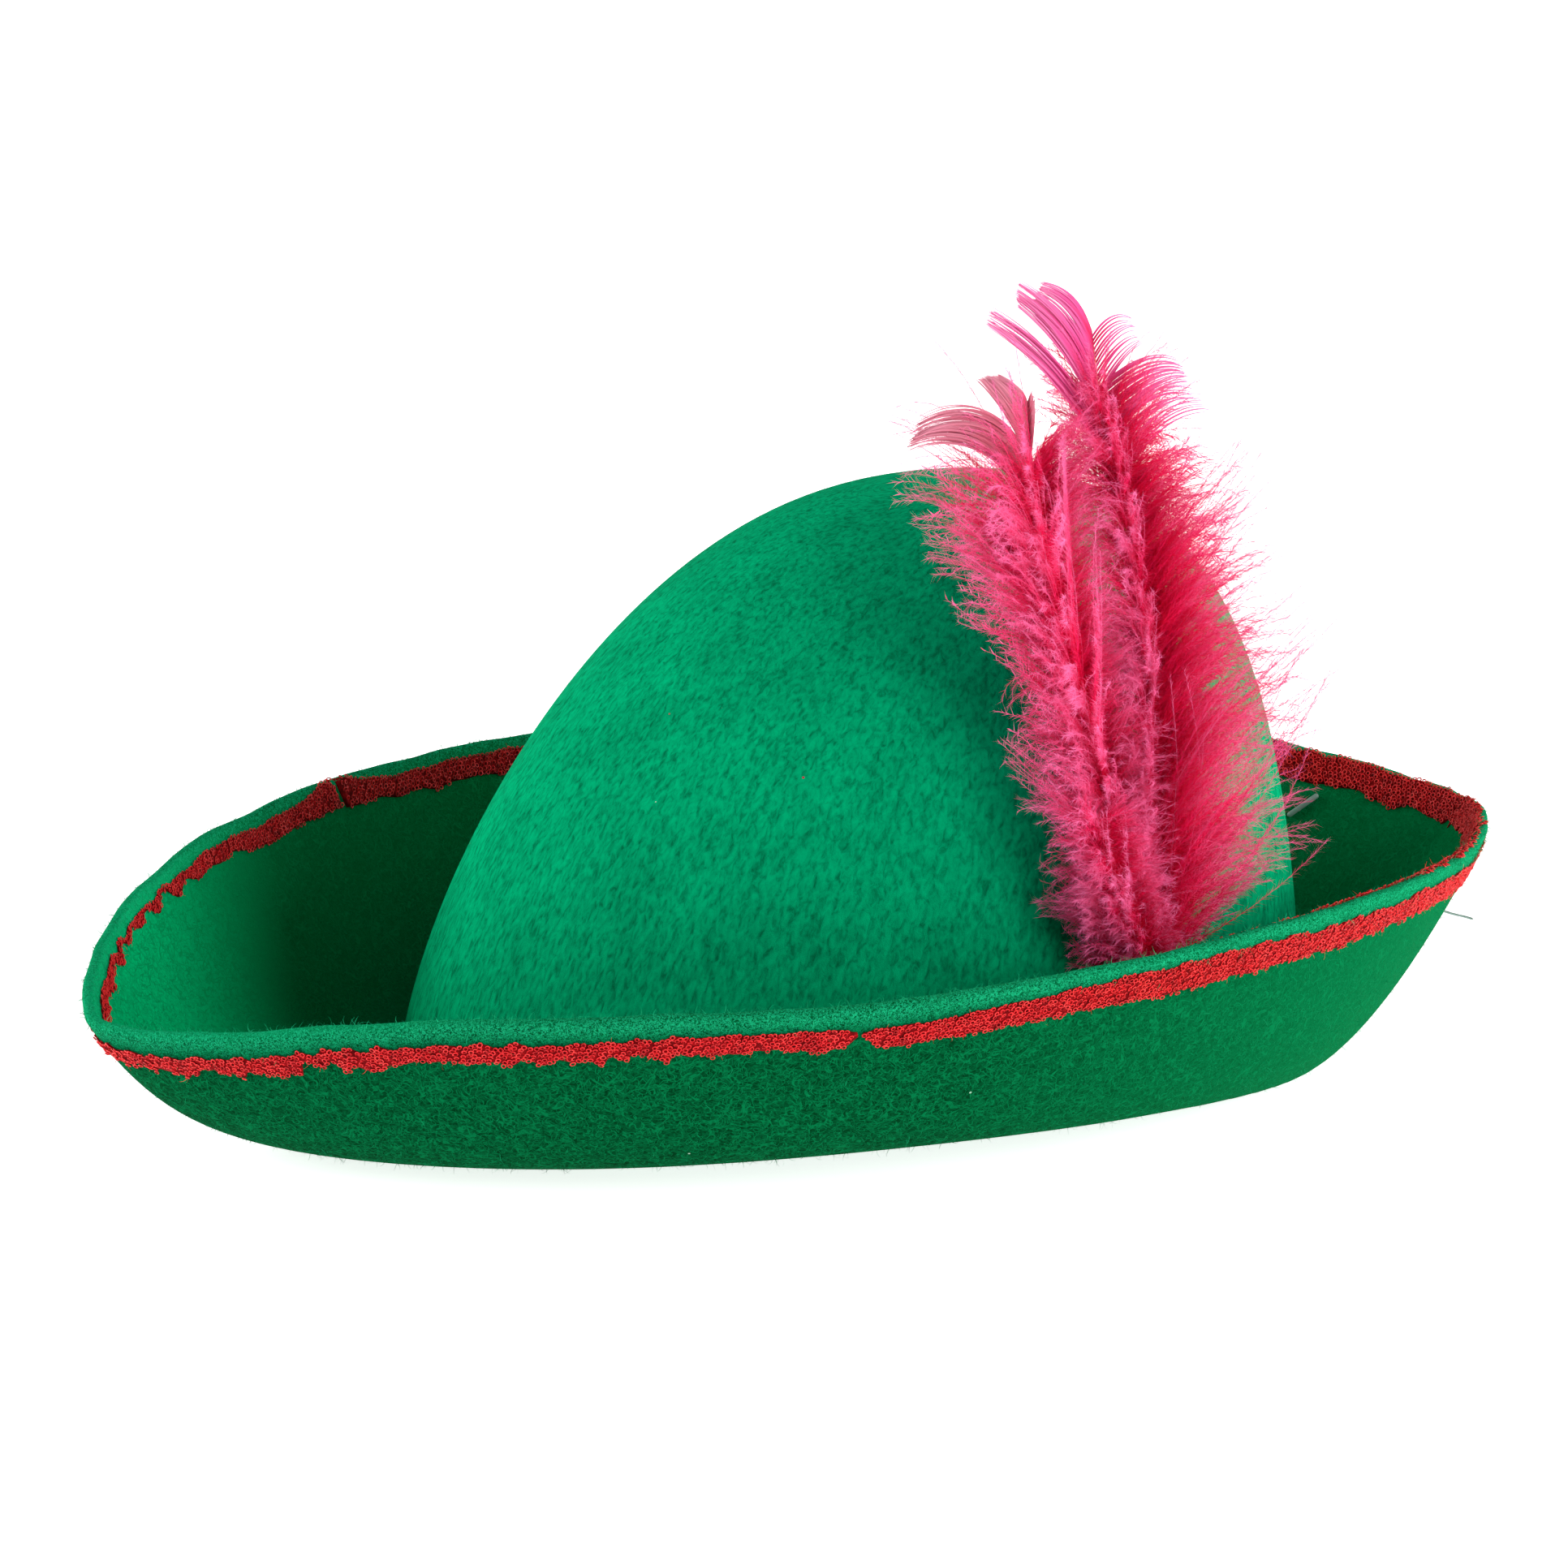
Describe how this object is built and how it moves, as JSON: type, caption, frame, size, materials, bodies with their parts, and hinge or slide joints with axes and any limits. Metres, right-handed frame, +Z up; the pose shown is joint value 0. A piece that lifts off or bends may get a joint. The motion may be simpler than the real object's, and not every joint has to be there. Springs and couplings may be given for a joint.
{
  "type": "pirate hat",
  "caption": "Felt costume hat with an egg-shaped crown, a boat-shaped brim turned up all round, knitted braid trim along the edge and a feather plume tacked beside the crown.",
  "frame": {"origin": "centre of the hat's bounding box, on the surface that it rests on", "axes": "+X to the back of the hat, +Y to the wearer's right, +Z up"},
  "size_m": [0.3467, 0.2286, 0.1829],
  "materials": {
    "green_felt": "needle-punched felt, matte, pressed smoother on the crown",
    "red_braid": "loopy knitted braid with ragged edges",
    "woven_band": "ribbed woven band",
    "sewing_thread": "twisted polyester thread",
    "clear_nylon": "clear moulded nylon",
    "quill": "dyed feather quill, satin",
    "feather_barbs": "dyed downy feather barbs",
    "wrapping_thread": "wound thread"
  },
  "bodies": {
    "hat": {"felt_body": "green_felt", "outer_braid": "red_braid", "inner_braid": "red_braid", "sweatband": "woven_band", "sweatband_thread": "sewing_thread"},
    "tack": {"tack_loop": "sewing_thread"},
    "plume": {"quill_wrap": "wrapping_thread", "left_feather_quill": "quill", "tall_feather_quill": "quill", "short_feather_quill": "quill", "left_feather_left_vane": "feather_barbs", "left_feather_right_vane": "feather_barbs", "tall_feather_left_vane": "feather_barbs", "tall_feather_right_vane": "feather_barbs", "short_feather_left_vane": "feather_barbs", "short_feather_right_vane": "feather_barbs"},
    "tag": {"tag_pin": "clear_nylon"}
  },
  "joints": [
    {"name": "plume_swing", "type": "hinge", "parent": "hat", "child": "tack", "pos_m": [0.0345, -0.0847, 0.022], "axis": [0.0872, -0.9962, 0], "range_deg": [-7, 7], "stiffness_Nm_per_rad": 0.06},
    {"name": "plume_lean", "type": "hinge", "parent": "tack", "child": "plume", "pos_m": [0.0345, -0.0847, 0.022], "axis": [0.9962, 0.0872, 0], "range_deg": [0, 10], "stiffness_Nm_per_rad": 0.06},
    {"name": "tag_pin_slide", "type": "slide", "parent": "hat", "child": "tag", "axis": [-0.6802, -0.5849, 0.4418], "range_m": [0, 0.003]}
  ]
}
